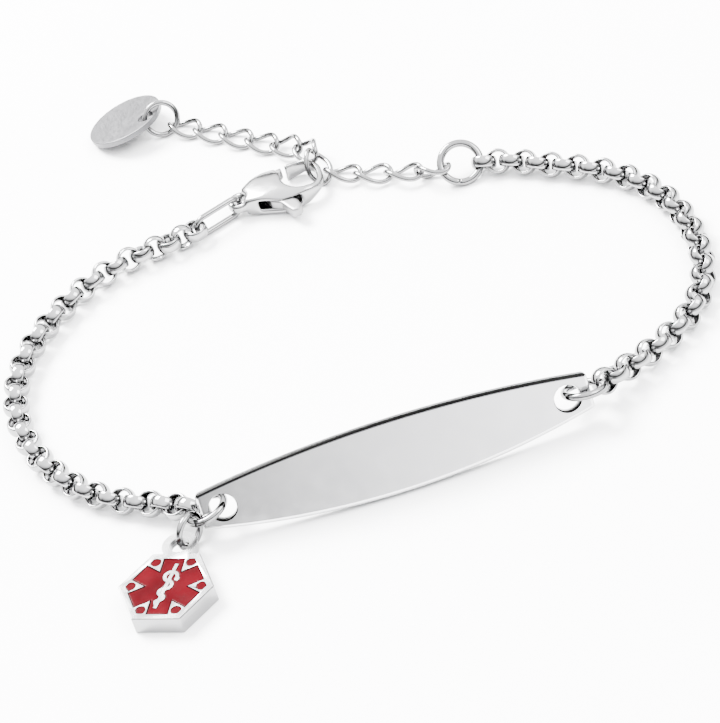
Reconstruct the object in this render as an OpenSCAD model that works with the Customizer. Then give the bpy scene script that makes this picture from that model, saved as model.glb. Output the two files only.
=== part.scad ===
/* [ID plate] */
// Length of the plate along its curve
plate_length = 35.8; // [33:0.1:40]
// Height of the plate at its middle
plate_width = 6.9; // [6:0.1:8]
// Height of the plate at its straight-cut ends
plate_end_width = 3.3; // [3:0.1:4]
// Thickness of the plate
plate_thickness = 1.0; // [0.8:0.1:1.2]
// How far the middle of the plate stands out past its ends
plate_bow = 1.2; // [0.8:0.1:2]
// Bore for a ring at each end of the plate
plate_hole_d = 2.4; // [2.3:0.05:2.5]
// Distance from a bore's middle to the end of the plate
plate_hole_inset = 2.15; // [2:0.1:2.4]
// How far the plate leans back from upright, in degrees
plate_lean = 22; // [18:1:26]

/* [Jump rings] */
// Wire of the plate's two rings
plate_ring_wire = 0.7; // [0.6:0.05:0.75]
// Inner diameter of the plate's two rings
plate_ring_inner = 2.95; // [2.9:0.05:3.05]
// Wire of the ring that carries the charm
charm_ring_wire = 0.6; // [0.5:0.05:0.6]
// Inner diameter of the ring that carries the charm
charm_ring_inner = 2.4; // [2.3:0.1:2.5]
// Wire of the large ring between the chain and the extender
big_ring_wire = 0.65; // [0.55:0.05:0.7]
// Inner diameter of the large ring
big_ring_inner = 3.25; // [3.2:0.05:3.3]
// Wire of the ring that carries the end tag
tag_ring_wire = 0.45; // [0.4:0.05:0.5]
// Inner diameter of the ring that carries the end tag
tag_ring_inner = 2.85; // [2.8:0.05:2.9]
// Width of the saw cut where each ring was closed
ring_cut = 0.06; // [0.04:0.01:0.1]

/* [Belcher chain] */
// Outer diameter of a round link
link_outer_d = 2.55; // [2.5:0.05:2.6]
// Thickness of a link's band at its middle
link_wall = 0.38; // [0.34:0.02:0.38]
// Width of a link's band
link_width = 1.1; // [0.9:0.05:1.1]
// Rise of the band's domed outside
link_crown = 0.13; // [0.08:0.01:0.14]
// Rise of the band's domed inside
link_inner_crown = 0.1; // [0.04:0.01:0.12]

/* [Clasp] */
// Outer diameter of the clasp's eye
eye_outer_d = 2.5; // [2.4:0.1:2.8]
// Bore of the clasp's eye
eye_bore_d = 1.3; // [1.2:0.05:1.4]
// Height of the eye
eye_height = 0.9; // [0.8:0.05:0.9]
// Distance from the eye's middle to the middle of the mouth
mouth_reach = 6.25; // [6.15:0.05:6.35]
// Width of the long round mouth
mouth_width = 3.5; // [3.4:0.05:3.6]
// Length by which the mouth is drawn out
mouth_stretch = 0.8; // [0.7:0.05:0.9]
// Width of the hook's band around the mouth
hook_wall = 0.7; // [0.6:0.02:0.74]
// Diameter of the body's swelling behind the mouth
belly_d = 3.9; // [3.8:0.1:4.1]
// Greatest thickness of the clasp
clasp_height = 2.6; // [2.4:0.1:2.8]
// Height of the lever's slot
slot_height = 1.1; // [0.9:0.05:1.1]
// Thickness of the lever
lever_height = 0.96; // [0.7:0.02:1]
// Diameter of the lever's pivot pin
pin_d = 0.7; // [0.6:0.05:0.8]
// Gap all round the pivot pin
pin_clearance = 0.05; // [0.03:0.01:0.08]
// Wire of the long ring between the chain and the clasp
clasp_ring_wire = 0.5; // [0.45:0.05:0.55]
// Inner length of the long ring
clasp_ring_length = 4.6; // [4.4:0.1:4.8]
// Inner width of the long ring
clasp_ring_width = 1.4; // [1.35:0.05:1.5]

/* [Extender] */
// Outer length of a curb link
curb_length = 4.25; // [4.2:0.05:4.25]
// Outer width of a curb link
curb_width = 2.7; // [2.6:0.05:2.8]
// Wire of a curb link
curb_wire = 0.45; // [0.36:0.03:0.45]
// Twist of a curb link from its middle to its end, in degrees
curb_twist = 45; // [40:1:50]

/* [End tag] */
// Diameter of the round end tag
tag_d = 8.1; // [7.8:0.1:8.4]
// Thickness of the end tag
tag_thickness = 0.6; // [0.5:0.05:0.65]
// Bore in the end tag
tag_hole_d = 1.7; // [1.5:0.1:1.9]

/* [Charm] */
// Side of the six-sided charm
charm_side = 4.42; // [4.3:0.02:4.5]
// Thickness of the charm
charm_thickness = 1.8; // [1.5:0.1:2]
// Outer diameter of the charm's bail
bail_outer_d = 3.2; // [3.1:0.05:3.25]
// Bore of the charm's bail
bail_bore_d = 1.8; // [1.7:0.05:1.9]
// Thickness of the bail
bail_thickness = 0.8; // [0.7:0.05:0.8]
// Width of the rim around the enamel
rim_width = 0.57; // [0.45:0.03:0.66]
// Width of one arm of the star
arm_width = 1.9; // [1.6:0.1:2]
// Diameter of a round enamel dot at a corner
dot_d = 1.0; // [0.8:0.05:1.05]
// Depth of the cells that hold the enamel
cell_depth = 0.4; // [0.3:0.05:0.5]
// Width of the staff on the star
staff_width = 0.3; // [0.24:0.02:0.36]
// Width of the snake that winds round the staff
snake_width = 0.3; // [0.22:0.02:0.32]

/* [Hidden] */
$fn = 48;

// Smallest gap between two pieces, the same between two rings, and a cut's reach past a face
gap = 0.1;
ring_gap = 0.2;
past = 0.5;
// Gap between the enamel and the walls of its cells, and how far it lies below the rim
enamel_gap = 0.03;
enamel_drop = 0.04;
// Gap between a moving lever and the walls of its slot
lever_gap = (slot_height - lever_height) / 2;

// Brings the middle of the laid-out bracelet to the origin
layout_shift = [-0.46, -11.3, 0];

// Where the plate's middle stands, and the way it runs on the floor in degrees
plate_floor = [0.64, -16.9];
plate_turn = 0.8;

// Chosen route of the left chain, from the clasp's ring to the plate's left ring:
// x, y, lift above its rest, and the roll of every other link in degrees, then the
// rolls at its two ends
LEFT_ROUTE = [[-14.4, 24.2, 0.05, 11], [-17.4, 23.85, 0.04, 24], [-20.4, 22.95, 0.02, 37],
              [-23.6, 21.2, 0, 49], [-26.8, 18.3, 0.03, 60], [-29.5, 14.8, 0.05, 68],
              [-31.3, 10.8, 0.06, 75], [-32, 6.4, 0.06, 82], [-31.6, 2.2, 0.06, 96],
              [-30.5, -1.8, 0.04, 110], [-28.4, -5.8, 0.02, 121], [-25.7, -9, 0, 128],
              [-22.9, -11.1, 0.02, 127], [-20.8, -12.5, 0.2, 117]];
LEFT_ROLLS = [0, 105];
// The same for the right chain, from the large ring to the plate's right ring
RIGHT_ROUTE = [[19.7, 20.8, 0, -45], [22.4, 18.9, 0, -45], [25.2, 17, 0, -45], [27.8, 14.9, 0, -45],
               [30, 12.3, 0, -45], [31.7, 9.1, 0, -45], [32.7, 5.6, 0, -45],
               [33, 1.9, 0, -45], [32.7, -1.7, 0, -45], [31.7, -5.1, 0, -45],
               [30, -8, 0, -45], [27.6, -10.2, 0, -47], [25.1, -11.9, 0.1, -51],
               [22.9, -13.4, 0.5, -60]];
RIGHT_ROLLS = [-45, -70];
// Chosen places of the extender's links: x, y, height, heading, pitch and roll in degrees
TAIL_LINKS = [[-10.08, 43.01, 0.69, -44, 0, -1], [-7.72, 40.81, 0.69, -42, 0, 0],
              [-5.32, 38.66, 0.69, -42, -1, -1], [-2.95, 36.48, 0.72, -45, 2, 6],
              [-0.68, 34.24, 1.07, -47, 10, 18], [1.14, 31.72, 1.66, -67, 12, 32]];
HOOKED_LINK = [1.67, 29.02, 1.37, -78, -33, -10];
CLASPED_LINKS = [[3.85, 27.5, 0.84, -33, -3, -14], [6.66, 25.93, 0.79, -27, 0, -4],
                 [9.53, 24.48, 0.93, -28, 4, -13], [12.22, 22.85, 1.39, -35, 16, -40]];

// Place of the large ring's middle, and its lean from flat in degrees
big_ring_at = [15, 22.4, 1.63];
big_ring_lean = 40;

// Place and heading of the clasp, measured from the middle of its eye
clasp_at = [-6.7, 27.05, 0];
clasp_turn = 0;
// Heading of the long ring, seen from the clasp's eye
clasp_ring_turn = 204;

// Place of the end tag's bore, its height over the tag's lower edge, and the tag's heading
tag_hole_at = [-13.5546, 44.4457];
tag_hole_lift = 1.8117;
tag_turn = -38;
// Metal left outside the tag's bore, and the bore's distance from the tag's middle
tag_hole_edge = 0.25;
tag_hole_x = (tag_d - tag_hole_d) / 2 - tag_hole_edge;
// The tag's tilt and the place of its middle, which follow from its bore
tag_tilt = asin(tag_hole_lift / (tag_d / 2 + tag_hole_x));
tag_at = tag_hole_at - tag_hole_x * cos(tag_tilt) * [cos(tag_turn), sin(tag_turn)];
// Place of the middle of the tag's ring, and the way its flat side faces
tag_ring_at = [-12.21, 44.31, 1.66];
tag_ring_face = [0.08, -0.856, 0.51];

// Place of the charm's middle beside the plate's end, and its heading
charm_laid = [-21.65, -23.3, 0];
charm_turn = -22.7;

// The steps between two route points, and the points around a curb link and its wire
route_steps = 10;
curb_steps = 16;
wire_sides = 6;

// Unit vector along v
function unit(v) = v / norm(v);

// v without its part along the unit vector d
function across(v, d) = unit(v - (v * d) * d);

// v turned about the X axis by a degrees
function roll_x(v, a) = [v[0], v[1] * cos(a) - v[2] * sin(a), v[1] * sin(a) + v[2] * cos(a)];

// v turned about the Z axis by a degrees
function turn_z(v, a) = [v[0] * cos(a) - v[1] * sin(a), v[0] * sin(a) + v[1] * cos(a), v[2]];

// Matrix that puts the origin at p, with X along x_dir and Z as near z_dir as it can be
function placed(p, x_dir, z_dir) =
    let (x = unit(x_dir), z = across(z_dir, x), y = cross(z, x))
    [[x[0], y[0], z[0], p[0]], [x[1], y[1], z[1], p[1]], [x[2], y[2], z[2], p[2]], [0, 0, 0, 1]];

// The plate's own directions: along it, up its face, and out of its face
plate_along = turn_z([1, 0, 0], plate_turn);
plate_up = turn_z([0, sin(plate_lean), cos(plate_lean)], plate_turn);
plate_out = turn_z([0, -cos(plate_lean), sin(plate_lean)], plate_turn);
// Height of the plate's middle when the middle of its lower back edge is on the floor
plate_rise = plate_width / 2 * cos(plate_lean) - (plate_bow - plate_thickness) * sin(plate_lean);
plate_at = [plate_floor[0], plate_floor[1], plate_rise];
plate_hole_x = plate_length / 2 - plate_hole_inset;
// Half the plate's length in the chosen layout, and the move of its right end from there
laid_half_length = 17.9;
end_move = (plate_length / 2 - laid_half_length) * plate_along;
charm_at = charm_laid - end_move;
// Radius of the plate's curve, and of its bowed long sides
plate_radius = (pow(plate_length / 2, 2) + pow(plate_bow, 2)) / (2 * plate_bow);
side_sag = (plate_width - plate_end_width) / 2;
side_radius = (pow(plate_length / 2, 2) + pow(side_sag, 2)) / (2 * side_sag);

// How far out the plate's face lies at x along it, and a point on the middle of its thickness
function plate_face(x) = sqrt(pow(plate_radius, 2) - pow(x, 2)) - plate_radius + plate_bow;
function plate_middle(x) =
    plate_at + x * plate_along + (plate_face(x) - plate_thickness / 2) * plate_out;

// Where the rings' wire passes through the plate's bores, and the room left for its slant
bore_room = 0.75;
ring_seat = (plate_hole_d - plate_ring_wire) / 2 - bore_room;
left_hole_wire = plate_middle(-plate_hole_x - ring_seat);
right_hole_wire = plate_middle(plate_hole_x + ring_seat);
plate_ring_r = (plate_ring_inner + plate_ring_wire) / 2;
// The way each plate ring leaves its bore, and the direction of its wire in the bore
left_ring_dir = unit([-0.84, 0.45, -0.3]);
left_ring_wire_dir = across([-0.42, -0.86, 0.05], left_ring_dir);
right_ring_dir = unit([0.9, 0.37, -0.2]);
right_ring_wire_dir = across([0.1, -0.9, 0.37], right_ring_dir);
left_ring_at = left_hole_wire + plate_ring_r * left_ring_dir;
right_ring_at = right_hole_wire + plate_ring_r * right_ring_dir;

// A point in the plane of the left plate ring, by its distance and angle from the ring's middle
function in_left_ring(r, a) =
    left_ring_at + r * (cos(a) * left_ring_dir + sin(a) * left_ring_wire_dir);

// Sizes of a chain link that follow from its band, and its rest with an allowance for bends
link_inner_r = link_outer_d / 2 - link_wall;
route_allowance = 0.05;
link_rest = (link_outer_d / 2 - link_crown) * sin(45) + link_width / 2 * cos(45) + route_allowance;
// Slack left in each joint of the chain, and the pitch that it gives
link_slack = 0.37;
link_pitch = link_outer_d - 2 * link_wall - link_slack;

// How far a chain's end link sits past the wire of a ring of given inner diameter, so that
// the whole width of its band stays clear inside the ring
function end_seat(wire, inner) =
    link_inner_r - wire / 2 - gap - inner / 2 + sqrt(pow(inner / 2, 2) - pow(link_width / 2, 2));

// Anchors of the chains on the rings
big_ring_r = (big_ring_inner + big_ring_wire) / 2;
big_ring_grip_angle = -15;
big_ring_grip = big_ring_at
    + big_ring_r * roll_x([cos(big_ring_grip_angle), sin(big_ring_grip_angle), 0], big_ring_lean);
right_start = big_ring_grip + end_seat(big_ring_wire, big_ring_inner) * unit([0.85, -0.5, -0.1]);
plate_end_seat = end_seat(plate_ring_wire, plate_ring_inner);
right_end = right_ring_at + (plate_ring_r + plate_end_seat) * right_ring_dir;
left_grip_angle = -16;
left_grip = in_left_ring(plate_ring_r, left_grip_angle);
left_end = left_grip + plate_end_seat * unit(left_grip - left_ring_at);

// The clasp's own frame: a point by its place from the eye
clasp_mid = clasp_height / 2;
function on_clasp(p) = clasp_at + turn_z([p[0], p[1], p[2]], clasp_turn);
clasp_ring_dir = turn_z([1, 0, 0], clasp_ring_turn);
clasp_ring_seat = 0.1;
clasp_ring_span = clasp_ring_length + clasp_ring_wire;
clasp_ring_near = on_clasp([0, 0, clasp_mid]) + clasp_ring_seat * clasp_ring_dir;
clasp_ring_far = clasp_ring_near + clasp_ring_span * clasp_ring_dir;
left_start = clasp_ring_far + end_seat(clasp_ring_wire, clasp_ring_width) * clasp_ring_dir;

// A route's points with its two anchors and the rolls there, each as x, y, z and roll
function with_ends(start, start_roll, route, end, end_roll) =
    concat([[start[0], start[1], start[2], start_roll]],
           [for (p = route) [p[0], p[1], link_rest + p[2], p[3]]],
           [[end[0], end[1], end[2], end_roll]]);

// A route whose points keep up with the plate's end, the more so the nearer they are to it
function kept_up(route, v) =
    [for (i = [0 : len(route) - 1])
        route[i] + (i + 1) / (len(route) + 1) * [v[0], v[1], 0, 0]];

// A point of the smooth curve through four points
function curve_point(a, b, c, d, t) =
    0.5 * (2 * b + (c - a) * t + (2 * a - 5 * b + 4 * c - d) * t * t
           + (3 * b - a - 3 * c + d) * t * t * t);

function smooth(p) =
    let (n = len(p) - 1)
    concat([for (i = [0 : n - 1], k = [0 : route_steps - 1])
        curve_point(p[max(i - 1, 0)], p[i], p[i + 1], p[min(i + 2, n)], k / route_steps)],
        [p[n]]);

function place_of(q) = [q[0], q[1], q[2]];

// Length of a path up to each of its points
function lengths(q) =
    [for (i = 0, s = 0; i < len(q);
          s = s + (i + 1 < len(q) ? norm(place_of(q[i + 1] - q[i])) : 0), i = i + 1) s];

// The path's point at length s
function point_at(q, l, s) =
    let (i = max([for (k = [0 : len(l) - 2]) if (l[k] <= s) k]),
         t = (s - l[i]) / (l[i + 1] - l[i]))
    q[i] + min(t, 1) * (q[i + 1] - q[i]);

// One round link in the XY plane, its band domed inside and out
module chain_link() {
    crown_r = (pow(link_width / 2, 2) + pow(link_crown, 2)) / (2 * link_crown);
    inner_r = (pow(link_width / 2, 2) + pow(link_inner_crown, 2)) / (2 * link_inner_crown);
    rotate_extrude()
        intersection() {
            translate([link_outer_d / 2 - crown_r, 0]) circle(crown_r);
            translate([link_inner_r + inner_r, 0]) circle(inner_r);
            translate([link_inner_r, -link_width / 2]) square([link_wall, link_width]);
        }
}

// A chain of links along a route, every other link a quarter turn round from the last
module chain(points) {
    path = smooth(points);
    marks = lengths(path);
    total = marks[len(marks) - 1];
    count = 2 * round(total / link_pitch / 2);
    step = total / count;
    for (k = [0 : count]) {
        s = min(k * step, total);
        here = point_at(path, marks, s);
        back = point_at(path, marks, max(s - step / 2, 0));
        ahead = point_at(path, marks, min(s + step / 2, total));
        way = unit(place_of(ahead - back));
        side = across([0, 0, 1], way);
        roll = here[3] + (k % 2) * 90;
        z_dir = cos(roll) * side - sin(roll) * cross(side, way);
        multmatrix(placed(place_of(here), way, z_dir)) chain_link();
    }
}

// A jump ring in the XY plane with its saw cut on the side at angle cut_at
module jump_ring(inner, wire, cut_at) {
    difference() {
        rotate_extrude() translate([(inner + wire) / 2, 0]) circle(d = wire);
        rotate([0, 0, cut_at])
            translate([inner / 2 - past, -ring_cut / 2, -wire])
                cube([wire + 2 * past, ring_cut, 2 * wire]);
    }
}

module plate_outline() {
    intersection() {
        translate([0, plate_width / 2 - side_radius]) circle(side_radius, $fn = 360);
        translate([0, side_radius - plate_width / 2]) circle(side_radius, $fn = 360);
        square([plate_length, plate_width], center = true);
    }
}

// The curved plate in its own frame: X along it, Y up its face, Z out of its face
module id_plate() {
    color("gainsboro")
        translate(layout_shift) multmatrix(placed(plate_at, plate_along, plate_out))
            difference() {
                intersection() {
                    translate([0, 0, -plate_bow - plate_thickness])
                        linear_extrude(2 * (plate_bow + plate_thickness)) plate_outline();
                    translate([0, 0, plate_bow - plate_radius]) rotate([90, 0, 0])
                        difference() {
                            cylinder(h = 2 * plate_width, r = plate_radius, center = true, $fn = 360);
                            cylinder(h = 3 * plate_width, r = plate_radius - plate_thickness,
                                     center = true, $fn = 360);
                        }
                }
                for (side = [-1, 1])
                    translate([side * plate_hole_x, 0, -plate_bow - plate_thickness - past])
                        cylinder(h = 3 * (plate_bow + plate_thickness), d = plate_hole_d);
            }
}

module plate_ring_left() {
    color("silver") translate(layout_shift)
        multmatrix(placed(left_ring_at, left_ring_dir, cross(left_ring_dir, left_ring_wire_dir)))
            jump_ring(plate_ring_inner, plate_ring_wire, 110);
}

module plate_ring_right() {
    color("silver") translate(layout_shift)
        multmatrix(placed(right_ring_at, right_ring_dir,
                          cross(right_ring_dir, right_ring_wire_dir)))
            jump_ring(plate_ring_inner, plate_ring_wire, -100);
}

module chain_left() {
    color("silver") translate(layout_shift)
        chain(with_ends(left_start, LEFT_ROLLS[0], kept_up(LEFT_ROUTE, -end_move),
                        left_end, LEFT_ROLLS[1]));
}

module chain_right() {
    color("silver") translate(layout_shift)
        chain(with_ends(right_start, RIGHT_ROLLS[0], kept_up(RIGHT_ROUTE, end_move),
                        right_end, RIGHT_ROLLS[1]));
}

module extender_ring() {
    color("silver") translate(layout_shift) translate(big_ring_at) rotate([big_ring_lean, 0, 0])
        jump_ring(big_ring_inner, big_ring_wire, -108);
}

// The long ring stands on edge between the chain and the clasp's eye
module clasp_ring() {
    end_r = (clasp_ring_width + clasp_ring_wire) / 2;
    straight = clasp_ring_span - 2 * end_r;
    color("silver") translate(layout_shift)
        multmatrix(placed((clasp_ring_near + clasp_ring_far) / 2, clasp_ring_dir,
                          cross([0, 0, 1], clasp_ring_dir))) {
            for (side = [-1, 1]) {
                translate([side * straight / 2, 0, 0]) rotate([0, 0, -side * 90])
                    rotate_extrude(angle = 180) translate([end_r, 0]) circle(d = clasp_ring_wire);
                translate([0, side * end_r, 0]) rotate([0, 90, 0])
                    cylinder(h = straight, d = clasp_ring_wire, center = true);
            }
        }
}

// Plan sizes of the clasp that follow from its mouth and belly
mouth_y = [0.35, 0.35 + mouth_stretch];
hook_r = mouth_width / 2 + hook_wall;
hook_x = mouth_reach - 0.1;
belly_at = [3.4, 0.9];
pin_at = [3, 1.35];
hub_r = 0.75;
long_dome_r = 15;
cross_dome_r = 5.5;
base_dome_r = 25;
dome_x = 3.9;
slot_low = (clasp_height - slot_height) / 2;
shoulder_x = 4.2;
tip_x = 5;
hook_height = 0.9;
scoop_r = 4;
scoop_x = 8.6;

// A circle of radius r drawn out between two heights on a line at x
module long_round(x, y, r) {
    for (end = y) translate([x, end]) circle(r);
    translate([x - r, y[0]]) square([2 * r, y[1] - y[0]]);
}

// Outline of the clasp seen from above, with neither mouth nor slot
module clasp_outline() {
    translate(belly_at) circle(d = belly_d);
    long_round(hook_x, mouth_y, hook_r);
    polygon([[0.4, 1.05], [1.9, 2.1], [3.4, 2.8], [4.6, 2.1], [6.6, -1], [6.7, -2], [5.9, -2.25],
             [4.8, -2.5], [3.8, -2.35], [2.5, -1.8], [0.4, -1.05]]);
}

// Scoops that thin the hook towards its end, above and below
module hook_scoops() {
    for (side = [-1, 1])
        translate([scoop_x, 0, clasp_mid + side * (hook_height / 2 + scoop_r)]) rotate([90, 0, 0])
            cylinder(h = 4 * mouth_reach, r = scoop_r, center = true, $fn = 90);
}

// Domes that round the clasp's top, both ways, and its underside
module clasp_domes() {
    intersection() {
        translate([dome_x, belly_at[1], clasp_height - long_dome_r])
            sphere(long_dome_r, $fn = 120);
        translate([dome_x, belly_at[1], base_dome_r]) sphere(base_dome_r, $fn = 180);
        translate([dome_x, mouth_y[0], clasp_height - cross_dome_r]) rotate([0, 90, 0])
            cylinder(h = 4 * mouth_reach, r = cross_dome_r, center = true, $fn = 120);
    }
}

// The way in between the shoulder and the tip of the hook
module mouth_gap() {
    polygon([[shoulder_x + 0.1, 1.8], [shoulder_x - 0.2, 4], [tip_x, 4], [tip_x + 0.15, 1.8]]);
}

// The lever's slot: round inside, open to the near side, and with a way out for the gate
module clasp_slot() {
    translate([belly_at[0] - 0.1, belly_at[1] + 0.05]) circle(belly_d / 2 - 0.45);
    polygon([[1.25, -4], [1.25, -0.3], [1.85, 0.6], [4.3, 0.6], [4.5, -0.3], [5.2, -1.35],
             [5.9, -1.75], [6, -4]]);
    polygon([[3.3, 2.25], [4.1, 3.3], [5.3, 3.3], [5.1, 2.2], [4.4, 1.5]]);
}

module clasp_body() {
    color("gainsboro") translate(layout_shift) translate(clasp_at) rotate([0, 0, clasp_turn]) {
        difference() {
            union() {
                difference() {
                    intersection() {
                        linear_extrude(clasp_height) clasp_outline();
                        clasp_domes();
                    }
                    hook_scoops();
                }
                translate([0, 0, (clasp_height - eye_height) / 2])
                    cylinder(h = eye_height, d = eye_outer_d);
            }
            translate([0, 0, -past]) cylinder(h = clasp_height + 2 * past, d = eye_bore_d);
            translate([0, 0, -past]) linear_extrude(clasp_height + 2 * past) {
                long_round(mouth_reach, mouth_y, mouth_width / 2);
                mouth_gap();
            }
            translate([0, 0, slot_low]) linear_extrude(slot_height) clasp_slot();
        }
        translate([pin_at[0], pin_at[1], slot_low - gap])
            cylinder(h = slot_height + 2 * gap, d = pin_d);
    }
}

// Edge of the lever from its gate to its thumb tab, which the round hub closes
LEVER_EDGE = [[3.6, 2.25], [4.25, 2.95], [4.72, 3.02], [4.8, 2.5], [4.3, 1.85], [3.95, 1.35],
              [4.1, -0.3], [4.6, -1.6], [5.5, -2.6], [5.75, -3.7], [5.4, -4.3], [4.75, -4.25],
              [4.35, -3.5], [3.9, -2.5], [2.95, -1.9], [2.45, -0.5]];

// The lever closes the gap with its gate, and its thumb tab stands out on the other side
module clasp_lever() {
    color("silver") translate(layout_shift) translate(clasp_at) rotate([0, 0, clasp_turn])
        translate([0, 0, slot_low + lever_gap])
            linear_extrude(lever_height)
                difference() {
                    polygon(concat(LEVER_EDGE, [for (a = [195 : -12 : 75])
                        [pin_at[0] + hub_r * cos(a), pin_at[1] + hub_r * sin(a)]]));
                    translate(pin_at) circle(d = pin_d + 2 * pin_clearance);
                }
}

// Middle line of a curb link, which is twisted along its length
function curb_mid(t) =
    let (x = (curb_length - curb_wire) / 2 * cos(t), y = (curb_width - curb_wire) / 2 * sin(t))
    roll_x([x, y, 0], curb_twist * cos(t));

// One curb link: a six-sided wire swept round the twisted oval
module curb_link() {
    small = 2;
    rings = [for (i = [0 : curb_steps - 1])
        let (t = i * 360 / curb_steps, p = curb_mid(t),
             way = unit(curb_mid(t + small) - curb_mid(t - small)),
             up = across(roll_x([0, 0, 1], curb_twist * cos(t)), way), out = cross(way, up))
        [for (j = [0 : wire_sides - 1])
            p + curb_wire / 2 * (cos(j * 360 / wire_sides) * up + sin(j * 360 / wire_sides) * out)]];
    points = [for (ring = rings, p = ring) p];
    faces = [for (i = [0 : curb_steps - 1], j = [0 : wire_sides - 1], half = [0, 1])
        let (a = i * wire_sides + j, b = i * wire_sides + (j + 1) % wire_sides,
             c = ((i + 1) % curb_steps) * wire_sides + j,
             d = ((i + 1) % curb_steps) * wire_sides + (j + 1) % wire_sides)
        half == 0 ? [a, c, b] : [b, c, d]];
    polyhedron(points, faces, convexity = 4);
}

module extender_chain() {
    color("silver") translate(layout_shift)
        for (p = concat(TAIL_LINKS, [HOOKED_LINK], CLASPED_LINKS))
            translate([p[0], p[1], p[2]]) rotate([0, -p[4], p[3]]) rotate([p[5], 0, 0]) curb_link();
}

// Height of the tag's middle above the edge that it rests on
tag_rise = tag_d / 2 * sin(tag_tilt);

module tag_place() {
    translate(layout_shift) translate([tag_at[0], tag_at[1], tag_rise])
        rotate([0, -tag_tilt, tag_turn]) children();
}

module end_tag() {
    color("darkgray") tag_place()
        difference() {
            cylinder(h = tag_thickness, d = tag_d);
            translate([tag_hole_x, 0, -past])
                cylinder(h = tag_thickness + 2 * past, d = tag_hole_d);
        }
}

module tag_ring() {
    color("silver") translate(layout_shift)
        multmatrix(placed(tag_ring_at, across([1, 0, 0], unit(tag_ring_face)), tag_ring_face))
            jump_ring(tag_ring_inner, tag_ring_wire, -75);
}

// The charm's own frame: X and Y in its face, Z out of it, origin on its underside
charm_apothem = charm_side * cos(30);
bail_y = charm_apothem + 1.1;

module charm_place() {
    translate(layout_shift) translate(charm_at) rotate([0, 0, charm_turn]) children();
}

// Where the charm's ring passes through the bail and through the left plate ring
charm_ring_r = (charm_ring_inner + charm_ring_wire) / 2;
charm_grip_angle = 55;
charm_ring_top = in_left_ring(plate_ring_r - (plate_ring_wire + charm_ring_wire) / 2 - ring_gap,
                              charm_grip_angle);
bail_middle = charm_at + turn_z([0, bail_y, charm_thickness - bail_thickness / 2], charm_turn);
charm_ring_dir = unit(bail_middle - charm_ring_top);

module charm_ring() {
    color("silver") translate(layout_shift)
        multmatrix(placed(charm_ring_top + charm_ring_r * charm_ring_dir, charm_ring_dir,
                          cross([0, 0, 1], charm_ring_dir)))
            jump_ring(charm_ring_inner, charm_ring_wire, 150);
}

// Crossing heights of the snake on the staff, from its neck to its tail
SNAKE_TURNS = [1.7, 0.62, -0.32, -1.08, -1.68, -2.14];
staff_top = 2.65;
staff_low = -2.6;
staff_slant = 8;

// Half a ring on one side of the staff, from height a down to height b
module snake_bend(a, b, side, width) {
    middle = (a + b) / 2;
    bend_r = (a - b) / 2;
    translate([0, middle])
        intersection() {
            difference() {
                circle(bend_r + width / 2);
                if (bend_r > width / 2) circle(bend_r - width / 2);
            }
            translate([side > 0 ? 0 : -2 * bend_r, -2 * bend_r]) square([2 * bend_r, 4 * bend_r]);
        }
}

// Staff and snake, grown by extra on each side
module emblem(extra) {
    turns = len(SNAKE_TURNS) - 1;
    rotate([0, 0, -staff_slant]) {
        translate([-staff_width / 2 - extra, staff_low - extra])
            square([staff_width + 2 * extra, staff_top - staff_low + 2 * extra]);
        for (k = [0 : turns - 1])
            snake_bend(SNAKE_TURNS[k], SNAKE_TURNS[k + 1], k % 2 == 0 ? -1 : 1,
                       snake_width + 2 * extra);
        translate([0, SNAKE_TURNS[0] - 0.62])
            intersection() {
                difference() {
                    circle(0.62 + snake_width / 2 + extra);
                    circle(0.62 - snake_width / 2 - extra);
                }
                square(2);
            }
        translate([0.66, SNAKE_TURNS[0] - 0.72]) circle(0.22 + extra);
    }
}

// Cells for the enamel, drawn in by inset on each side
module enamel_cells(inset) {
    inner = charm_side - rim_width / cos(30);
    intersection() {
        circle(r = inner - inset / cos(30), $fn = 6);
        union() {
            for (k = [0 : 2])
                rotate([0, 0, 30 + 60 * k])
                    square([2 * charm_side, arm_width - 2 * inset], center = true);
            for (k = [0 : 5])
                rotate([0, 0, 60 * k]) translate([inner - dot_d / 2, 0]) circle(d = dot_d - 2 * inset);
        }
    }
}

module charm_body() {
    color("gainsboro") charm_place() {
        difference() {
            union() {
                cylinder(h = charm_thickness, r = charm_side, $fn = 6);
                translate([0, bail_y, charm_thickness - bail_thickness])
                    cylinder(h = bail_thickness, d = bail_outer_d);
            }
            translate([0, bail_y, -past])
                cylinder(h = charm_thickness + 2 * past, d = bail_bore_d);
            translate([0, 0, charm_thickness - cell_depth])
                linear_extrude(cell_depth + past)
                    difference() {
                        enamel_cells(0);
                        emblem(0);
                    }
        }
    }
}

module charm_enamel() {
    color("firebrick") charm_place()
        translate([0, 0, charm_thickness - cell_depth + enamel_gap])
            linear_extrude(cell_depth - enamel_gap - enamel_drop)
                difference() {
                    enamel_cells(enamel_gap);
                    emblem(enamel_gap);
                }
}

id_plate();
plate_ring_left();
plate_ring_right();
chain_left();
chain_right();
clasp_ring();
clasp_body();
clasp_lever();
extender_ring();
extender_chain();
tag_ring();
end_tag();
charm_ring();
charm_body();
charm_enamel();
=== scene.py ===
import bpy
import bmesh
import math
import numpy as np
from mathutils import Matrix, Vector


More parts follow.
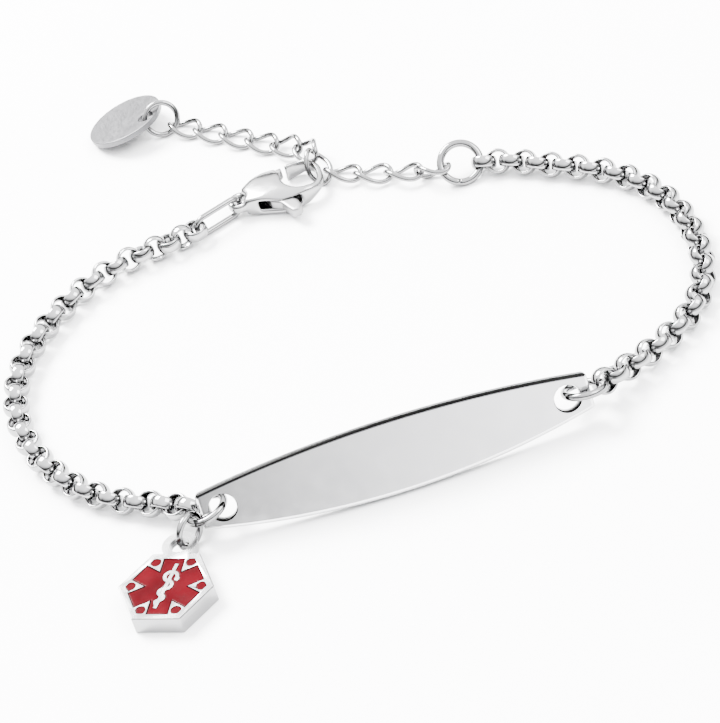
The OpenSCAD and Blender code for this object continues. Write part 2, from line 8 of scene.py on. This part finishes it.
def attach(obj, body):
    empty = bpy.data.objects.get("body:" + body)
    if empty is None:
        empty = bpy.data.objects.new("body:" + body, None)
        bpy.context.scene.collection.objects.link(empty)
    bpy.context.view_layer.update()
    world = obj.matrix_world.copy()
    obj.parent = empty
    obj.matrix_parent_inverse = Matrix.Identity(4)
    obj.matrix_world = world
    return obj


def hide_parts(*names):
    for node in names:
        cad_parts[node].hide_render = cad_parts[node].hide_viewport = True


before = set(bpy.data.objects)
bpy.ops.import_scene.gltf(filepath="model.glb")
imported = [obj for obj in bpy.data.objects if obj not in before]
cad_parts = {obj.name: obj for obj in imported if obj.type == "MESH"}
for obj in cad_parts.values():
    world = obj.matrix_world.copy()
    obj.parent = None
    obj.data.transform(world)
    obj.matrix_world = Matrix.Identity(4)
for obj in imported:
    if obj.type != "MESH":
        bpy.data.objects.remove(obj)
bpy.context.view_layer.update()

MM = 0.001
# Points nearer than this are one point, in metres
WELD = 1e-7
# The move from the places that part.scad gives its pieces to the frame, in mm
SHIFT = Vector((-0.46, -11.3, 0.0))

# Camera at the photograph's angle, its focal length in pixels of the photograph's width
ELEVATION = math.radians(40)
ROLL = math.radians(17)
DISTANCE = 290 * MM
FOCAL_PX = 3146.5
FRAME_PX = 720
SENSOR = 36


def add_camera():
    """The camera, which faces the place where part.scad has its origin."""
    look = Vector((0, math.cos(ELEVATION), -math.sin(ELEVATION)))
    rise = Vector((0, math.sin(ELEVATION), math.cos(ELEVATION)))
    right = math.cos(ROLL) * Vector((1, 0, 0)) - math.sin(ROLL) * rise
    up = math.sin(ROLL) * Vector((1, 0, 0)) + math.cos(ROLL) * rise
    data = bpy.data.cameras.new("camera")
    data.sensor_fit = "HORIZONTAL"
    data.sensor_width = SENSOR
    data.lens = SENSOR * FOCAL_PX / FRAME_PX
    data.clip_start = 0.01
    data.clip_end = 20
    camera = bpy.data.objects.new("camera", data)
    bpy.context.scene.collection.objects.link(camera)
    turn = Matrix((right, up, -look)).transposed().to_4x4()
    camera.matrix_world = Matrix.Translation(SHIFT * MM - look * DISTANCE) @ turn
    bpy.context.scene.camera = camera


add_camera()

# Materials. The part of a noise's range that is spread over a roughness
NOISE_LOW = 0.3
NOISE_HIGH = 0.7


def material(name):
    """A new material and its only shader."""
    made = bpy.data.materials.new(name)
    made.use_nodes = True
    nodes = made.node_tree.nodes
    nodes.clear()
    out = nodes.new("ShaderNodeOutputMaterial")
    shader = nodes.new("ShaderNodeBsdfPrincipled")
    made.node_tree.links.new(shader.outputs[0], out.inputs[0])
    return made, shader


def add(owner, kind, **inputs):
    """A node in the tree of a material or the world, with inputs set by name."""
    node = owner.node_tree.nodes.new(kind)
    for name, value in inputs.items():
        node.inputs[name].default_value = value
    return node


def link(owner, source, target):
    """Join an output to an input in the tree of a material or the world."""
    owner.node_tree.links.new(source, target)


def noise(owner, scale, detail, stretch=(1, 1, 1)):
    """Noise in the piece's own coordinates, drawn out along the axes that stretch makes small."""
    place = add(owner, "ShaderNodeTexCoord")
    mapping = add(owner, "ShaderNodeMapping", Scale=stretch)
    link(owner, place.outputs["Object"], mapping.inputs["Vector"])
    texture = add(owner, "ShaderNodeTexNoise", Scale=scale, Detail=detail)
    link(owner, mapping.outputs[0], texture.inputs["Vector"])
    return texture.outputs["Fac"]


def spread(owner, source, from_low, from_high, to_low=0.0, to_high=1.0):
    """A value moved from one range to another."""
    ends = {"From Min": from_low, "From Max": from_high, "To Min": to_low, "To Max": to_high}
    node = add(owner, "ShaderNodeMapRange", **ends)
    link(owner, source, node.inputs["Value"])
    return node.outputs[0]


def colour_ramp(owner, source, stops):
    """The colour that a value gets from stops, each a place on the ramp and a colour."""
    node = add(owner, "ShaderNodeValToRGB")
    elements = node.color_ramp.elements
    while len(elements) < len(stops):
        elements.new(0.5)
    for k, (place, colour) in enumerate(stops):
        elements[k].position = place
        elements[k].color = (*colour, 1)
    link(owner, source, node.inputs[0])
    return node.outputs[0]


def uneven_colour(made, shader, scale, detail, stops):
    """Give a shader a colour that wanders between the stops."""
    clouds = noise(made, scale, detail)
    link(made, colour_ramp(made, clouds, stops), shader.inputs["Base Color"])


def uneven_roughness(made, shader, source, low, high):
    """Give a shader a roughness that wanders from low to high."""
    rough = spread(made, source, NOISE_LOW, NOISE_HIGH, low, high)
    link(made, rough, shader.inputs["Roughness"])


def bump(made, shader, height, strength, depth):
    """Give a shader a relief, with its depth in metres."""
    node = add(made, "ShaderNodeBump", Strength=strength, Distance=depth)
    link(made, height, node.inputs["Height"])
    link(made, node.outputs[0], shader.inputs["Normal"])


def steel(name, rough, wear, scratch, tone):
    """Steel with faint clouds, uneven roughness and fine buffing lines, toned for this studio."""
    made, shader = material(name)
    shader.inputs["Metallic"].default_value = 1
    bright = tone * 1.1
    stops = [(0.25, (tone, tone, tone * 1.01)), (0.75, (bright, bright, bright))]
    uneven_colour(made, shader, 350, 4, stops)
    uneven_roughness(made, shader, noise(made, scale=900, detail=5), rough, rough + wear)
    lines = noise(made, scale=2500, detail=3, stretch=(0.15, 1, 1))
    bump(made, shader, lines, scratch, depth=0.00001)
    return made


def satin_steel():
    """The tag's steel, with a fine grain along one way."""
    made, shader = material("tag_steel")
    shader.inputs["Metallic"].default_value = 1
    stops = [(0.3, (0.085, 0.085, 0.088)), (0.7, (0.10, 0.10, 0.103))]
    uneven_colour(made, shader, 300, 3, stops)
    grain = noise(made, scale=6000, detail=4, stretch=(1, 0.12, 1))
    uneven_roughness(made, shader, grain, 0.34, 0.48)
    bump(made, shader, grain, strength=0.25, depth=0.00002)
    return made


def red_enamel():
    """The charm's enamel, toned for this studio."""
    made, shader = material("enamel")
    stops = [(0.3, (0.022, 0.0, 0.0009)), (0.7, (0.040, 0.0, 0.0018))]
    uneven_colour(made, shader, 420, 3, stops)
    uneven_roughness(made, shader, noise(made, scale=900, detail=2), 0.10, 0.2)
    shader.inputs["Specular IOR Level"].default_value = 0.02
    bump(made, shader, noise(made, scale=600, detail=2), strength=0.15, depth=0.00003)
    return made


def pale_paper():
    """The floor's paper."""
    made, shader = material("paper")
    stops = [(0.3, (0.88, 0.88, 0.885)), (0.7, (0.9, 0.9, 0.9))]
    uneven_colour(made, shader, 40, 3, stops)
    shader.inputs["Roughness"].default_value = 0.7
    shader.inputs["Specular IOR Level"].default_value = 0.2
    return made


plate_steel = steel("plate_steel", rough=0.05, wear=0.05, scratch=0.05, tone=0.5)
chain_steel = steel("chain_steel", rough=0.06, wear=0.07, scratch=0.08, tone=0.22)
# Near-black steel for the plate's edges and ends: a painted dark reflection, not the steel's own colour
plate_painted_reflection = steel("plate_painted_reflection", rough=0.2, wear=0.1, scratch=0.1, tone=0.0025)
ring_steel = steel("ring_steel", rough=0.07, wear=0.07, scratch=0.08, tone=0.15)
clasp_steel = steel("clasp_steel", rough=0.15, wear=0.1, scratch=0.08, tone=0.23)
lever_steel = steel("lever_steel", rough=0.3, wear=0.12, scratch=0.08, tone=0.2)
charm_steel = steel("charm_steel", rough=0.14, wear=0.1, scratch=0.1, tone=0.24)
# Near-black steel for the charm's top edges: a painted dark reflection, not the steel's own colour
charm_painted_reflection = steel("charm_painted_reflection", rough=0.2, wear=0.1, scratch=0.1, tone=0.01)
MATERIALS = {"id_plate": plate_steel, "plate_ring_left": ring_steel, "plate_ring_right": ring_steel,
             "chain_left": chain_steel, "chain_right": chain_steel, "clasp_ring": ring_steel,
             "clasp_body": clasp_steel, "clasp_lever": lever_steel, "extender_ring": ring_steel,
             "extender_chain": ring_steel, "tag_ring": ring_steel, "charm_ring": ring_steel,
             "charm_body": charm_steel, "end_tag": satin_steel(), "charm_enamel": red_enamel()}

for name, made in MATERIALS.items():
    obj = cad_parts[name]
    obj.data.materials.clear()
    obj.data.materials.append(made)


# Pieces that stand in for CAD nodes
def finish_piece(name, mesh, node, sharp):
    """Turn a mesh into a piece that stands for a CAD node, with that node's body and material.
    Edges sharper than the given degrees stay sharp."""
    mesh.validate()
    mesh.shade_smooth()
    mesh.set_sharp_from_angle(angle=math.radians(sharp))
    piece = bpy.data.objects.new(name, mesh)
    bpy.context.scene.collection.objects.link(piece)
    mesh.materials.clear()
    mesh.materials.append(MATERIALS[node])
    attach(piece, "lever" if node == "clasp_lever" else "bracelet")
    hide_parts(node)


def helper(name, mesh):
    """An object that carries modifiers, or cuts another, until it is removed."""
    obj = bpy.data.objects.new(name, mesh)
    bpy.context.scene.collection.objects.link(obj)
    return obj


def baked(obj):
    """The mesh of a helper object with its modifiers applied; the helper is removed."""
    graph = bpy.context.evaluated_depsgraph_get()
    mesh = bpy.data.meshes.new_from_object(obj.evaluated_get(graph))
    bpy.data.objects.remove(obj)
    return mesh


def node_bmesh(node):
    """A CAD node's mesh with its seams joined."""
    bm = bmesh.new()
    bm.from_mesh(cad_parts[node].data)
    bmesh.ops.remove_doubles(bm, verts=bm.verts, dist=WELD)
    return bm


def as_mesh(bm, name):
    """A mesh made of an edited copy, which is freed."""
    mesh = bpy.data.meshes.new(name)
    bm.to_mesh(mesh)
    bm.free()
    return mesh


def outward(verts, faces, name):
    """A mesh of the vertices and faces, with its faces turned outwards."""
    mesh = bpy.data.meshes.new(name)
    mesh.from_pydata(verts, [], faces)
    bm = bmesh.new()
    bm.from_mesh(mesh)
    bmesh.ops.recalc_face_normals(bm, faces=bm.faces)
    bm.to_mesh(mesh)
    bm.free()
    return mesh


# The angles over which an edge is eased, and under which flat faces become one
EASED_ANGLE = math.radians(35)
FLAT_ANGLE = math.radians(1.5)


def bevelled(node, width, longer=0.0):
    """A CAD node with its sharp edges eased, or only those longer than a length, both in mm."""
    bm = node_bmesh(node)
    bmesh.ops.dissolve_limit(bm, angle_limit=FLAT_ANGLE, verts=bm.verts, edges=bm.edges)
    edges = [e for e in bm.edges if len(e.link_faces) == 2
             and e.calc_face_angle(0) > EASED_ANGLE and e.calc_length() > longer * MM]
    bmesh.ops.bevel(bm, geom=edges, offset=width * MM, offset_type="OFFSET", segments=3,
                    profile=0.5, affect="EDGES", clamp_overlap=longer == 0)
    return as_mesh(bm, node + "_rounded")


def softened(bm, name, voxel, rounds):
    """A form remeshed with voxels of a size in mm and smoothed, as if tumbled."""
    obj = helper(name + "_helper", as_mesh(bm, name + "_soft"))
    remesh = obj.modifiers.new("remesh", "REMESH")
    remesh.mode = "VOXEL"
    remesh.voxel_size = voxel * MM
    smooth = obj.modifiers.new("smooth", "SMOOTH")
    smooth.factor = 0.5
    smooth.iterations = rounds
    return baked(obj)


def ease_normals(mesh, rounds):
    """Spread each shading normal over its neighbours, so that a soft form shines as one curve."""
    normals = np.empty(len(mesh.vertices) * 3)
    mesh.vertices.foreach_get("normal", normals)
    normals = normals.reshape(-1, 3)
    ends = np.empty(len(mesh.edges) * 2, dtype=np.int64)
    mesh.edges.foreach_get("vertices", ends)
    a, b = ends.reshape(-1, 2).T
    count = np.bincount(ends, minlength=len(normals))[:, None] + 1.0
    for _ in range(rounds):
        total = np.stack([np.bincount(a, normals[b, k], len(normals))
                          + np.bincount(b, normals[a, k], len(normals)) for k in range(3)], axis=1)
        normals = (normals + total) / count
    normals /= np.linalg.norm(normals, axis=1)[:, None] + 1e-12
    mesh.normals_split_custom_set_from_vertices(normals.tolist())


# The least height over the floor of a wire that is made thicker, in mm
FLOOR_GAP = 0.004


def fattened(node, by):
    """A CAD ring with its wire thicker all round, lifted where that would reach the floor."""
    bm = node_bmesh(node)
    bm.normal_update()
    places = [v.co + v.normal * by * MM for v in bm.verts]
    lift = max(0.0, FLOOR_GAP * MM - min(p.z for p in places))
    for v, p in zip(bm.verts, places):
        v.co = p + Vector((0, 0, lift))
    return as_mesh(bm, node + "_full")


def tube_faces(rings, sides):
    """Faces of a closed tube whose last ring meets its first."""
    faces = []
    for i in range(rings):
        after = (i + 1) % rings
        for j in range(sides):
            beside = (j + 1) % sides
            faces.append((i * sides + j, i * sides + beside, after * sides + beside, after * sides + j))
    return np.array(faces)


# A round link: outer radius, wall, half its height, the domes of its outside and inside with
# half the height that each takes, and its rim as distances in from the radius and the side, in mm
LINK_RADIUS = 1.275
LINK_WALL = 0.38
LINK_HALF = 0.55
OUTER_DOME = 0.13
OUTER_HALF = 0.47
INNER_DOME = 0.1
INNER_HALF = 0.46
LINK_RIM = [(0.14, 0.025), (0.205, 0.005), (0.27, 0.025)]
LINK_STEPS = 56
# The order of a face's corners that turns it over
TURNED_OVER = [0, 3, 2, 1]


def round_link():
    """A link of the round chain: a domed band with rounded rims, turned about Z."""
    outer = [(LINK_RADIUS - OUTER_DOME * (z / LINK_HALF) ** 2, z)
             for z in np.linspace(-OUTER_HALF, OUTER_HALF, 9)]
    inner = [(LINK_RADIUS - LINK_WALL + INNER_DOME * (z / LINK_HALF) ** 2, z)
             for z in np.linspace(INNER_HALF, -INNER_HALF, 7)]
    high = [(LINK_RADIUS - inwards, LINK_HALF - down) for inwards, down in LINK_RIM]
    low = [(r, -z) for r, z in reversed(high)]
    profile = outer + high + inner + low
    verts = []
    for i in range(LINK_STEPS):
        turn = 2 * math.pi * i / LINK_STEPS
        verts += [(r * math.cos(turn), r * math.sin(turn), z) for r, z in profile]
    return np.array(verts), tube_faces(LINK_STEPS, len(profile))[:, TURNED_OVER]


# A twisted link: length, width, wire and twist as in part.scad, in mm. The wire is round here
# and a little fuller, and the links are lifted so that it stays over the floor
CURB_LENGTH = 4.25
CURB_WIDTH = 2.7
CURB_WIRE = 0.45
CURB_TWIST = math.radians(45)
CURB_FULLER = 1.1
CURB_LIFT = 0.018
CURB_RINGS = 72
CURB_SIDES = 12
SMALL_TURN = 0.02


def curb_roll(turn):
    """How far a twisted link rolls about its length at a turn round it."""
    return CURB_TWIST * math.cos(turn)


def curb_middle(turn):
    """The middle of a twisted link's wire at a turn round it."""
    across = (CURB_WIDTH - CURB_WIRE) / 2 * math.sin(turn)
    return np.array([(CURB_LENGTH - CURB_WIRE) / 2 * math.cos(turn),
                     across * math.cos(curb_roll(turn)), across * math.sin(curb_roll(turn))])


def unit(v):
    """A direction with a length of one."""
    return v / np.linalg.norm(v)


def curb_link():
    """A twisted link of the extender, which lies along X."""
    radius = CURB_WIRE / 2 * CURB_FULLER
    verts = []
    for i in range(CURB_RINGS):
        turn = 2 * math.pi * i / CURB_RINGS
        way = unit(curb_middle(turn + SMALL_TURN) - curb_middle(turn - SMALL_TURN))
        top = np.array([0, -math.sin(curb_roll(turn)), math.cos(curb_roll(turn))])
        top = unit(top - top @ way * way)
        side = np.cross(way, top)
        for j in range(CURB_SIDES):
            round_wire = 2 * math.pi * j / CURB_SIDES
            out = math.cos(round_wire) * top + math.sin(round_wire) * side
            verts.append(curb_middle(turn) + radius * out)
    return np.array(verts), tube_faces(CURB_RINGS, CURB_SIDES)


def part_numbers(places, triangles):
    """For each triangle, a number that it shares with all the triangles that it hangs together with."""
    _, same = np.unique(np.round(places / WELD).astype(np.int64), axis=0, return_inverse=True)
    joined = same.reshape(-1)[triangles]
    label = np.arange(joined.max() + 1)
    settled = False
    while not settled:
        lowest = label[joined].min(axis=1)
        lower = label.copy()
        for k in range(3):
            np.minimum.at(lower, joined[:, k], lowest)
        lower = lower[lower]
        settled = (lower == label).all()
        label = lower
    return label[joined[:, 0]]


def loose_parts(mesh):
    """Each loose part's middle, and its axes in columns from its thinnest way to its longest."""
    mesh.calc_loop_triangles()
    places = np.empty(len(mesh.vertices) * 3)
    mesh.vertices.foreach_get("co", places)
    places = places.reshape(-1, 3)
    triangles = np.empty(len(mesh.loop_triangles) * 3, dtype=np.int64)
    mesh.loop_triangles.foreach_get("vertices", triangles)
    triangles = triangles.reshape(-1, 3)
    numbers = part_numbers(places, triangles)
    parts = []
    for number in np.unique(numbers):
        a, b, c = places[triangles[numbers == number]].transpose(1, 0, 2)
        area = np.linalg.norm(np.cross(b - a, c - a), axis=1)[:, None]
        middles = (a + b + c) / 3
        centre = (middles * area).sum(axis=0) / area.sum()
        away = middles - centre
        parts.append((centre, np.linalg.eigh((away * area).T @ away)[1]))
    return parts


def turned_axes(axes):
    """The axes of a turned link, in rows: two across it, and the one that it turns about."""
    z = axes[:, 0]
    x = unit(np.cross(z, [0.3, 0.2, 1.0]))
    return np.array([x, np.cross(z, x), z])


def long_axes(axes):
    """The axes of a long link, in rows: along it, across it and through it."""
    x = axes[:, 2]
    z = axes[:, 0]
    return np.array([x, np.cross(z, x), z])


def chain_piece(name, node, one_link, rows, lift=0.0):
    """One smooth link in the place of each of a chain's links, with a lift in mm."""
    base, faces = one_link
    verts = []
    quads = []
    for centre, axes in loose_parts(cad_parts[node].data):
        quads.append(faces + len(verts) * len(base))
        verts.append(centre + (base @ rows(axes) + [0, 0, lift]) * MM)
    mesh = bpy.data.meshes.new(name)
    mesh.from_pydata(np.concatenate(verts).tolist(), [], np.concatenate(quads).tolist())
    finish_piece(name, mesh, node, sharp=60)


chain_piece("chain_left_links", "chain_left", round_link(), turned_axes)
chain_piece("chain_right_links", "chain_right", round_link(), turned_axes)
chain_piece("extender_links", "extender_chain", curb_link(), long_axes, CURB_LIFT)

# The plate's sizes and place as in part.scad, in mm, and the radius of its rolled edges
PLATE_LENGTH = 35.8
PLATE_WIDTH = 6.9
PLATE_END = 3.3
PLATE_THICK = 1.0
PLATE_BOW = 1.2
PLATE_LEAN = math.radians(22)
PLATE_TURN = math.radians(0.8)
PLATE_FLOOR = (0.64, -16.9)
EDGE_RADIUS = 0.3
LEAST_RADIUS = 0.02
CORNER_STEPS = 6
PLATE_STEPS = 150
# Steps of the roll at the plate's ends in degrees, and the points between two corners as shares
END_STEPS = (15, 30, 45, 60, 75, 86)
BETWEEN = (0.02, 0.5, 0.98)
# The plate's bores: place, radius, and flare as growth and height over the plate's middle, in mm
BORE_X = 15.75
BORE_RADIUS = 1.2
BORE_FLARE = [(0.62, 0.9), (0.14, 0.52), (0.05, 0.42), (0, 0.3)]
BORE_STEPS = 64

turned = Matrix.Rotation(PLATE_TURN, 3, "Z")
plate_along = turned @ Vector((1, 0, 0))
plate_up = turned @ Vector((0, math.sin(PLATE_LEAN), math.cos(PLATE_LEAN)))
plate_out = turned @ Vector((0, -math.cos(PLATE_LEAN), math.sin(PLATE_LEAN)))
plate_height = (PLATE_WIDTH / 2 * math.cos(PLATE_LEAN)
                - (PLATE_BOW - PLATE_THICK) * math.sin(PLATE_LEAN))
plate_at = Vector((*PLATE_FLOOR, plate_height))
bow_radius = ((PLATE_LENGTH / 2) ** 2 + PLATE_BOW ** 2) / (2 * PLATE_BOW)
narrowing = (PLATE_WIDTH - PLATE_END) / 2
side_radius = ((PLATE_LENGTH / 2) ** 2 + narrowing ** 2) / (2 * narrowing)


def plate_face(x):
    """How far out the plate's face lies at x along it."""
    return math.sqrt(bow_radius ** 2 - x * x) - bow_radius + PLATE_BOW


def plate_point(x, y, z):
    """A point by its place along, up and out of the plate, z from the middle of its thickness."""
    slope = -x / bow_radius
    base = plate_face(x) - PLATE_THICK / 2
    place = plate_at + plate_along * (x - z * slope) + plate_up * y + plate_out * (base + z)
    return (place + SHIFT) * MM


def plate_section(half_y, half_z, radius):
    """Section of the plate with round corners, and points beside them that keep its faces flat."""
    corners = []
    for k, (side_y, side_z) in enumerate([(1, 1), (-1, 1), (-1, -1), (1, -1)]):
        for i in range(CORNER_STEPS + 1):
            a = math.pi / 2 * (k + i / CORNER_STEPS)
            corners.append((side_y * (half_y - radius) + radius * math.cos(a),
                            side_z * (half_z - radius) + radius * math.sin(a)))
    points = []
    for k, (y, z) in enumerate(corners):
        points.append((y, z))
        if k % (CORNER_STEPS + 1) == CORNER_STEPS:
            next_y, next_z = corners[(k + 1) % len(corners)]
            points += [(y + (next_y - y) * share, z + (next_z - z) * share) for share in BETWEEN]
    return points


def plate_mesh():
    """The plate without its bores, as sections from end to end."""
    half = PLATE_LENGTH / 2
    reach = half - EDGE_RADIUS
    rows = [(reach * (-1 + 2 * i / PLATE_STEPS), 0.0) for i in range(PLATE_STEPS + 1)]
    end = [(half - EDGE_RADIUS * (1 - math.sin(a)), EDGE_RADIUS * (1 - math.cos(a)))
           for a in [math.radians(d) for d in END_STEPS]]
    rows = [(-x, shrink) for x, shrink in reversed(end)] + rows + end
    verts = []
    for x, shrink in rows:
        half_width = math.sqrt(side_radius ** 2 - x * x) - side_radius + PLATE_WIDTH / 2
        section = plate_section(half_width - shrink, PLATE_THICK / 2 - shrink,
                                max(EDGE_RADIUS - shrink, LEAST_RADIUS))
        verts += [plate_point(x, y, z) for y, z in section]
    n = len(verts) // len(rows)
    faces = []
    for i in range(len(rows) - 1):
        for j in range(n):
            beside = (j + 1) % n
            faces.append((i * n + j, (i + 1) * n + j, (i + 1) * n + beside, i * n + beside))
    faces.append(tuple(range(n)))
    faces.append(tuple(reversed(range(len(verts) - n, len(verts)))))
    return outward(verts, faces, "plate")


def bore_mesh(x):
    """What is cut out for a bore at x: a round hole that flares at both faces."""
    front = [(BORE_RADIUS + growth, z) for growth, z in BORE_FLARE]
    profile = front + [(r, -z) for r, z in reversed(front)]
    n = len(profile)
    slope = -x / bow_radius
    through = (plate_out - plate_along * slope).normalized()
    level = (plate_along + plate_out * slope).normalized()
    middle = plate_point(x, 0, 0)
    verts = []
    faces = []
    for i in range(BORE_STEPS):
        turn = 2 * math.pi * i / BORE_STEPS
        way = level * math.cos(turn) + plate_up * math.sin(turn)
        verts += [middle + (way * r + through * z) * MM for r, z in profile]
        after = (i + 1) % BORE_STEPS
        faces += [(i * n + j, i * n + j + 1, after * n + j + 1, after * n + j) for j in range(n - 1)]
    faces.append(tuple(i * n for i in range(BORE_STEPS)))
    faces.append(tuple(i * n + n - 1 for i in reversed(range(BORE_STEPS))))
    return outward(verts, faces, "bore")


# How far a face of the plate has to turn up, down or to an end to get the near-black steel that paints a
# dark reflection on it
DARK_UP = 0.35
DARK_DOWN = -0.8
DARK_END = 0.8


def plate_piece():
    """The plate with its bores. Its upper edge, its lower edge and its ends get a near-black steel of
    their own, a painted dark reflection along its edges rather than the steel's own colour."""
    plate = helper("plate_helper", plate_mesh())
    cutters = [helper("bore_helper", bore_mesh(x)) for x in (-BORE_X, BORE_X)]
    for cutter in cutters:
        bore = plate.modifiers.new("bore", "BOOLEAN")
        bore.operation = "DIFFERENCE"
        bore.solver = "EXACT"
        bore.object = cutter
    mesh = baked(plate)
    for cutter in cutters:
        bpy.data.objects.remove(cutter)
    finish_piece("polished_plate", mesh, "id_plate", sharp=25)
    mesh.materials.append(plate_painted_reflection)
    # Faces that turn up, down or to an end get the near-black steel: a painted dark reflection
    for face in mesh.polygons:
        upward = face.normal.dot(plate_up)
        endward = abs(face.normal.dot(plate_along))
        face.material_index = int(upward > DARK_UP or upward < DARK_DOWN or endward > DARK_END)


plate_piece()

# The clasp's place in part.scad, and metal that closes its slot behind the lever's swing: an
# outline from the middle of the clasp's eye, and its lower and upper side, in mm
CLASP_AT = Vector((-6.7, 27.05, 0))
WEB_OUTLINE = [(1.1, -1.27), (1.72, -1.49), (1.72, 0.3), (1.1, -0.2)]
WEB_SIDES = (0.7, 1.9)
BODY_ROUNDS = 60
LEVER_ROUNDS = 20


def add_slot_web(bm):
    """Add the metal that closes the clasp's slot."""
    low, high = [[bm.verts.new((CLASP_AT + SHIFT + Vector((x, y, z))) * MM) for x, y in WEB_OUTLINE]
                 for z in WEB_SIDES]
    bm.faces.new(reversed(low))
    bm.faces.new(high)
    for k in range(len(WEB_OUTLINE)):
        after = (k + 1) % len(WEB_OUTLINE)
        bm.faces.new((low[k], low[after], high[after], high[k]))


def clasp_pieces():
    """The clasp and its lever, tumbled smooth and shaded rounder than they are."""
    body = node_bmesh("clasp_body")
    add_slot_web(body)
    mesh = softened(body, "clasp_body", voxel=0.06, rounds=BODY_ROUNDS)
    finish_piece("clasp_smooth", mesh, "clasp_body", sharp=180)
    ease_normals(mesh, BODY_ROUNDS)
    mesh = softened(node_bmesh("clasp_lever"), "clasp_lever", voxel=0.05, rounds=LEVER_ROUNDS)
    finish_piece("lever_smooth", mesh, "clasp_lever", sharp=180)
    ease_normals(mesh, LEVER_ROUNDS)


clasp_pieces()

# How much is added to the radius of three rings' wires, in mm
FULLER_RINGS = {"extender_ring": 0.05, "tag_ring": 0.06, "clasp_ring": 0.04}
for node, by in FULLER_RINGS.items():
    finish_piece(node + "_round", fattened(node, by), node, sharp=50)

# The charm's eased edges get a near-black steel, a painted dark reflection, above this height in mm, where
# they tilt between these two
CHARM_DARK_OVER = 1.2
CHARM_TILT = (0.3, 0.95)


def charm_pieces():
    """The charm with eased edges, painted dark on its top as a dark reflection, and its enamel, rounded as
    it flowed.
    """
    mesh = bevelled("charm_body", width=0.08, longer=1.2)
    finish_piece("charm_cast", mesh, "charm_body", sharp=14)
    mesh.materials.append(charm_painted_reflection)
    least, most = CHARM_TILT
    # Tilted faces high on the charm get the near-black steel: a painted dark reflection
    for face in mesh.polygons:
        tilted = least < face.normal.z < most
        face.material_index = int(tilted and face.center.z > CHARM_DARK_OVER * MM)
    mesh = softened(node_bmesh("charm_enamel"), "charm_enamel", voxel=0.045, rounds=4)
    finish_piece("enamel_fill", mesh, "charm_enamel", sharp=60)


charm_pieces()
finish_piece("tag_disc", bevelled("end_tag", width=0.1), "end_tag", sharp=14)

# Floor, with half its width in metres
FLOOR_HALF = 2


def add_floor():
    """A plain pale floor."""
    mesh = bpy.data.meshes.new("floor")
    corners = [(-1, -1), (1, -1), (1, 1), (-1, 1)]
    mesh.from_pydata([(x * FLOOR_HALF, y * FLOOR_HALF, 0) for x, y in corners], [], [(0, 1, 2, 3)])
    floor = bpy.data.objects.new("floor", mesh)
    bpy.context.scene.collection.objects.link(floor)
    mesh.materials.append(pale_paper())


add_floor()

# The studio that the steel shows, as greys from the floor's level (0) to overhead (1) in the
# direction looked in: behind the bracelet, in front of it, and to its left and right
BEHIND_GREYS = [(0.0, 0.004), (0.14, 0.006), (0.26, 0.05), (0.36, 0.6), (0.5, 1.0), (0.8, 1.0)]
FRONT_GREYS = [(0.0, 0.75), (0.16, 0.8), (0.26, 0.06), (0.42, 0.02), (0.55, 0.5), (0.75, 1.0)]
LEFT_GREYS = [(0.0, 0.09), (1.0, 0.9)]
RIGHT_GREYS = [(0.0, 1.0), (1.0, 1.0)]
# Where left gives way to right, and front to behind, and a slight blue
LEFT_TO_RIGHT = (-0.35, 0.3)
FRONT_TO_BEHIND = (-0.25, 0.25)
BLUE = 1.01
STUDIO_STRENGTH = 8.5


def sky_blend(world, a, b, kind="MIX"):
    """A node that mixes two colours of the sky."""
    node = add(world, "ShaderNodeMix")
    node.data_type = "RGBA"
    node.blend_type = kind
    link(world, a, node.inputs[6])
    link(world, b, node.inputs[7])
    return node


def add_studio():
    """The world, with its greys by the direction looked in."""
    world = bpy.data.worlds.new("studio")
    bpy.context.scene.world = world
    world.use_nodes = True
    world.node_tree.nodes.clear()
    direction = add(world, "ShaderNodeSeparateXYZ")
    link(world, add(world, "ShaderNodeTexCoord").outputs["Generated"], direction.inputs[0])
    behind, front, left, right = [
        colour_ramp(world, direction.outputs["Z"], [(at, (grey, grey, grey * BLUE)) for at, grey in greys])
        for greys in (BEHIND_GREYS, FRONT_GREYS, LEFT_GREYS, RIGHT_GREYS)]
    sides = sky_blend(world, left, right)
    link(world, spread(world, direction.outputs["X"], *LEFT_TO_RIGHT), sides.inputs[0])
    shaded_front = sky_blend(world, front, sides.outputs[2], "MULTIPLY")
    shaded_front.inputs[0].default_value = 1.0
    whole = sky_blend(world, shaded_front.outputs[2], behind)
    link(world, spread(world, direction.outputs["Y"], *FRONT_TO_BEHIND), whole.inputs[0])
    background = add(world, "ShaderNodeBackground", Strength=STUDIO_STRENGTH)
    link(world, whole.outputs[2], background.inputs["Color"])
    link(world, background.outputs[0], add(world, "ShaderNodeOutputWorld").inputs[0])


add_studio()


def area_light(name, at, size, power):
    """A square light that faces the frame's origin, in metres and watts."""
    data = bpy.data.lights.new(name, "AREA")
    data.shape = "RECTANGLE"
    data.size = size
    data.size_y = size
    data.energy = power
    lamp = bpy.data.objects.new(name, data)
    bpy.context.scene.collection.objects.link(lamp)
    lamp.location = at
    lamp.rotation_euler = (-Vector(at)).to_track_quat("-Z", "Y").to_euler()


area_light("key", at=(-0.25, 0.35, 0.5), size=0.3, power=45.0)
area_light("fill", at=(0.35, -0.1, 0.45), size=0.3, power=6.0)
